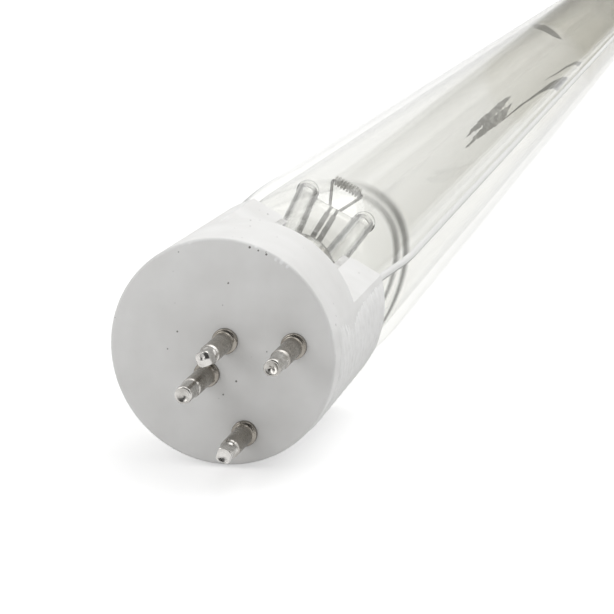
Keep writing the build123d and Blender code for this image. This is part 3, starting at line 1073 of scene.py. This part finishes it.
def make_floor():
    """White paint that glows for the rays whose light is seen, and not for those that light the lamp."""
    material, tree, shader = finish("floor", (0.70, 0.70, 0.70), 0.9, Specular_IOR_Level=0.0,
                                    Emission_Color=WHITE)
    rays = add_node(tree, "LightPath").outputs
    through = arithmetic(tree, "MAXIMUM", rays["Is Glossy Ray"], rays["Is Transmission Ray"])
    seen = arithmetic(tree, "MAXIMUM", rays["Is Camera Ray"], through)
    feed(tree, shader, Emission_Strength=product(tree, seen, floor_glow))
    return material


floor_level = cad_box[0].z - floor_gap
corners = np.array([(-1, -1, 0), (1, -1, 0), (1, 1, 0), (-1, 1, 0)]) * floor_size / 2 + (0, 0, floor_level)
floor_mesh = bpy.data.meshes.new("floor")
floor_mesh.from_pydata(corners.tolist(), [], [(0, 1, 2, 3)])
floor = bpy.data.objects.new("floor", floor_mesh)
scene.collection.objects.link(floor)
dress(floor, make_floor())
print("floor at", round(floor_level, 5))


# %% [markdown]
# ### What the glass and the metal mirror
#
# Glass has no colour of its own: it shows what stands round it. The camera sees plain white, rays
# that light the surfaces a dimmer even white, and mirrored and bent rays a studio: white walls, a
# dark patch behind the camera, where the photographer stands, and a dim olive-grey one past the
# lamp's far end. Its upright edge draws the long line on the tube, so it is darkest there. Both
# patches are made from the direction's azimuth and elevation.
# %% World
room_light = 0.46


def patch_mask(tree, azimuth, elevation, edges, heights):
    """One inside a patch of the studio's walls. Each edge is where its step starts and ends, in degrees."""
    steps = []
    for direction, (low, high) in ((azimuth, edges), (elevation, heights)):
        steps += [span(tree, direction, *np.radians(low)), span(tree, direction, *np.radians(high), 1, 0)]
    return product(tree, *steps)


def make_world():
    """The studio: what rays of each kind see, by their direction."""
    world = bpy.data.worlds.new("studio")
    world.use_nodes = True
    tree = world.node_tree
    direction = add_node(tree, "TexCoord").outputs["Generated"]
    x, y, z = add_node(tree, "SeparateXYZ", Vector=direction).outputs
    elevation = arithmetic(tree, "ARCSINE", z)
    from_far_end = arithmetic(tree, "ARCTAN2", x, y)
    from_camera = arithmetic(tree, "ARCTAN2", x, product(tree, y, -1.0))
    far_patch = patch_mask(tree, from_far_end, elevation, ((-7.5, -6.5), (50, 70)), ((-20, -18), (30, 45)))
    dark_patch = patch_mask(tree, from_camera, elevation, ((-40, -25), (50, 65)), ((-20, -18), (45, 60)))
    height = span(tree, elevation, radians(3), radians(13))
    beside_edge = span(tree, from_far_end, radians(-6), radians(5), 1, 0)
    dim = mix(tree, height, (0.48, 0.47, 0.43), (0.60, 0.595, 0.57))
    dim = mix(tree, beside_edge, dim, (0.34, 0.335, 0.31))
    walls = mix(tree, far_patch, WHITE, dim)
    walls = mix(tree, dark_patch, walls, (0.05, 0.05, 0.05))
    rays = add_node(tree, "LightPath").outputs
    seen = mix(tree, rays["Is Camera Ray"], walls, WHITE)
    seen = mix(tree, rays["Is Diffuse Ray"], seen, WHITE)
    level = span(tree, rays["Is Diffuse Ray"], 0, 1, 1, room_light)
    feed(tree, tree.nodes["Background"], Color=seen, Strength=level)
    return world


scene.world = make_world()
print("world", scene.world.name)


# %% [markdown]
# ## Light
#
# Two soft lamps. A large one stands far behind and above, to the right, and gives the tops of the
# collar and the ears their white and the lamp its shadow. A small one close by at the upper left
# gives the face of the cap its slow change from light to shade.
# %% Lamps
def soft_lamp(name, size, power, location, target):
    """A square area lamp that points at a target. Metres and watts."""
    data = bpy.data.lights.new(name, "AREA")
    data.size = size
    data.energy = power
    lamp = bpy.data.objects.new(name, data)
    lamp.location = location
    lamp.rotation_mode = "QUATERNION"
    lamp.rotation_quaternion = Vector(np.array(target) - np.array(location)).to_track_quat("-Z", "Y")
    scene.collection.objects.link(lamp)


soft_lamp("back_key", 2.0, 19.5, (0.45, 0.8, 1.3), (0, 0.2, 0))
soft_lamp("left_fill", 0.1, 0.055, (-0.10, -0.10, 0.10), (0, 0, 0))
print("lamps", len(bpy.data.lights))


# %% [markdown]
# ## Camera
#
# The camera looks almost along the lamp, from close above its pins. Its place and directions were
# worked out from the ellipse of the cap's face and the vanishing point of the tube's edges.
# %% Camera at the photograph's angle
eye = np.array([0.05968, -0.19926, 0.05563])
forward = np.array([-0.233586, 0.943678, -0.234329])
right = np.cross(forward, [0, 0, 1])
right /= np.linalg.norm(right)
upward = np.cross(right, forward)
focal_pixels = 1842.0
frame_pixels = 614.0
camera_data = bpy.data.cameras.new("camera")
camera_data.sensor_width = 36.0
camera_data.lens = focal_pixels / frame_pixels * camera_data.sensor_width
camera_data.clip_start = 0.01
camera = bpy.data.objects.new("camera", camera_data)
axes = Matrix((right, upward, -forward)).transposed().to_4x4()
axes.translation = eye
camera.matrix_world = axes
scene.collection.objects.link(camera)
scene.camera = camera
bpy.context.scene.view_settings.view_transform = "Standard"
print("lens", round(camera_data.lens, 1), "mm")

# %% The end
bpy.context.view_layer.update()
